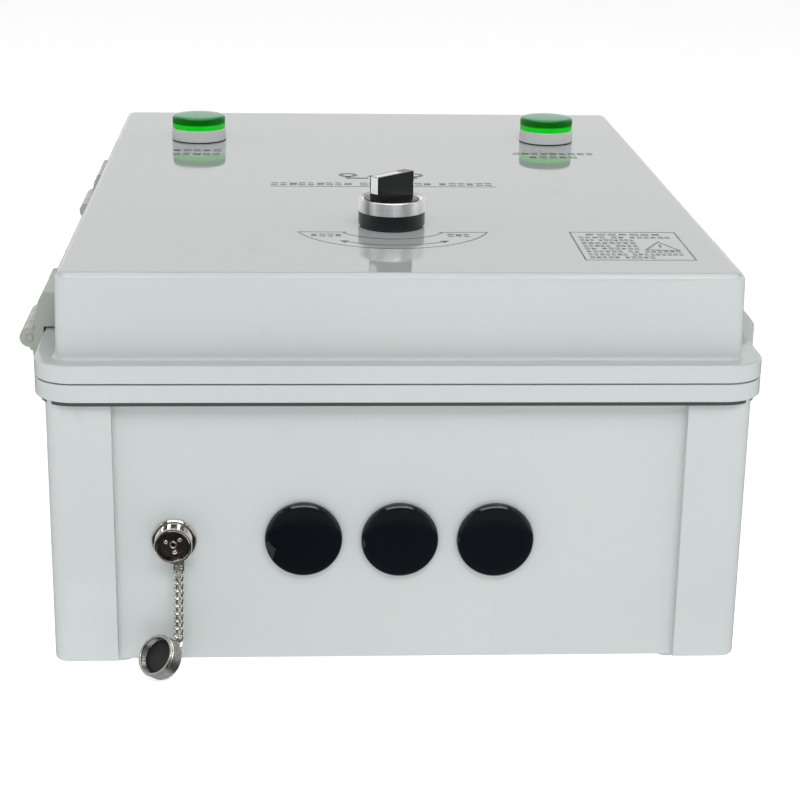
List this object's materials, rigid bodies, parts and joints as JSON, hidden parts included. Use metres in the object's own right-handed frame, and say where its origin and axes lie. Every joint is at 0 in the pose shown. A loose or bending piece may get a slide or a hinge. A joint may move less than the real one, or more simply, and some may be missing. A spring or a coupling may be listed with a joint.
{
  "type": "automatic transfer switch",
  "caption": "Wall-mounted plastic changeover panel with a hinged lid, selector switch, pilot lamps, plugged cable entries and a chassis connector with chained cap.",
  "frame": {"origin": "centre of the wall-mounting hole pattern, on the wall plane that the feet touch", "axes": "+Z out of the wall through the lid, +Y up on the wall, the cable entries on the -Y side, the hinges on the -X side"},
  "size_m": [0.3167, 0.4165, 0.1936],
  "materials": {
    "case_plastic": "moulded light grey ABS",
    "steel": "zinc-plated steel",
    "plate_steel": "galvanised sheet",
    "seal": "soft black rubber",
    "black_gloss": "glossy black moulding",
    "black_satin": "satin black moulding",
    "white_insert": "white insert",
    "satin_ring": "satin turned metal",
    "lamp_grey": "light grey moulding",
    "lens_green": "translucent green moulding",
    "lamp_housing": "dark grey moulding",
    "nickel": "bright nickel plate",
    "insulator": "black insulator",
    "pin_metal": "silvered contact pins",
    "contactor_plastic": "charcoal moulding",
    "module_plastic": "grey moulding",
    "indicator_plastic": "orange moulding",
    "rocker_plastic": "dark blue moulding",
    "relay_cover": "smoky clear cover",
    "socket_plastic": "dark moulding",
    "brass": "plain brass",
    "wire": "black insulated wire"
  },
  "bodies": {
    "base": {"base_shell": "case_plastic", "hinge_front_base_leaf": "case_plastic", "hinge_rear_base_leaf": "case_plastic", "hinge_pins": "steel", "case_screws": "steel", "mounting_plate": "plate_steel", "plate_screws": "steel", "din_rails": "plate_steel", "contactor_mains": "contactor_plastic", "contactor_generator": "contactor_plastic", "interlock_housing": "contactor_plastic", "voltage_relay": "module_plastic", "timer_relay": "module_plastic", "control_breaker": "module_plastic", "terminal_blocks": "module_plastic", "relay_socket": "socket_plastic", "control_relay": "relay_cover", "terminal_screws": "brass", "earth_bar": "brass", "earth_bar_screws": "brass", "power_wiring": "wire", "latch_front_bracket": "case_plastic", "latch_rear_bracket": "case_plastic", "latch_pins": "steel", "connector_shell": "nickel", "connector_insert": "insulator", "connector_pins": "pin_metal", "connector_nut": "nickel", "chain_tag": "nickel"},
    "door": {"lid_shell": "case_plastic", "lid_gasket": "seal", "hinge_front_lid_leaf": "case_plastic", "hinge_rear_lid_leaf": "case_plastic", "hinge_lid_screws": "steel", "panel_gaskets": "seal", "panel_nuts": "lamp_housing", "selector_collar": "black_satin", "selector_ring": "satin_ring", "selector_bushing": "black_satin", "selector_contact_block": "lamp_housing", "lamp_left_bezel": "lamp_grey", "lamp_left_lens": "lens_green", "lamp_left_body": "lamp_housing", "lamp_right_bezel": "lamp_grey", "lamp_right_lens": "lens_green", "lamp_right_body": "lamp_housing", "door_wiring": "wire"},
    "selector_handle": {"selector_knob": "black_satin", "selector_marker": "white_insert"},
    "front_latch": {"latch_front_lever": "case_plastic"},
    "rear_latch": {"latch_rear_lever": "case_plastic"},
    "left_plug": {"blanking_plug_left": "black_gloss"},
    "middle_plug": {"blanking_plug_middle": "black_gloss"},
    "right_plug": {"blanking_plug_right": "black_gloss"},
    "chain": {"cap_chain": "nickel"},
    "cap": {"protective_cap": "nickel", "cap_liner": "insulator"},
    "mains_armature": {"armature_mains": "indicator_plastic"},
    "generator_armature": {"armature_generator": "indicator_plastic"},
    "breaker_rocker": {"breaker_toggle": "rocker_plastic"}
  },
  "joints": [
    {"name": "door_hinge", "type": "hinge", "parent": "base", "child": "door", "pos_m": [-0.157, 0, 0.1298], "axis": [0, -1, 0], "range_deg": [0, 175]},
    {"name": "selector_turn", "type": "hinge", "parent": "door", "child": "selector_handle", "pos_m": [-0.0007, -0.1035, 0.18], "axis": [0, 0, 1], "range_deg": [0, 90]},
    {"name": "front_latch_pivot", "type": "hinge", "parent": "base", "child": "front_latch", "pos_m": [0.151, -0.128, 0.1135], "axis": [0, 1, 0], "range_deg": [0, 105]},
    {"name": "rear_latch_pivot", "type": "hinge", "parent": "base", "child": "rear_latch", "pos_m": [0.151, 0.128, 0.1135], "axis": [0, 1, 0], "range_deg": [0, 105]},
    {"name": "left_plug_pull", "type": "slide", "parent": "base", "child": "left_plug", "axis": [0, -1, 0], "range_m": [0, 0.04]},
    {"name": "middle_plug_pull", "type": "slide", "parent": "base", "child": "middle_plug", "axis": [0, -1, 0], "range_m": [0, 0.04]},
    {"name": "right_plug_pull", "type": "slide", "parent": "base", "child": "right_plug", "axis": [0, -1, 0], "range_m": [0, 0.04]},
    {"name": "chain_swing", "type": "hinge", "parent": "base", "child": "chain", "pos_m": [-0.0922, -0.1959, 0.0446], "axis": [-1, 0, 0], "range_deg": [0, 100]},
    {"name": "cap_spin", "type": "hinge", "parent": "chain", "child": "cap", "pos_m": [-0.09631, -0.20311, 0.00547], "axis": [-0.5571, -0.5951, 0.5791], "continuous": true},
    {"name": "mains_pull_in", "type": "slide", "parent": "base", "child": "mains_armature", "axis": [0, 0, -1], "range_m": [0, 0.003], "stiffness_N_per_m": 150, "springref_m": -0.002},
    {"name": "generator_pull_in", "type": "slide", "parent": "base", "child": "generator_armature", "axis": [0, 0, -1], "range_m": [0, 0.003], "stiffness_N_per_m": 150, "springref_m": -0.002},
    {"name": "breaker_rock", "type": "hinge", "parent": "base", "child": "breaker_rocker", "pos_m": [-0.096, -0.062, 0.085], "axis": [1, 0, 0], "range_deg": [0, 76]}
  ]
}
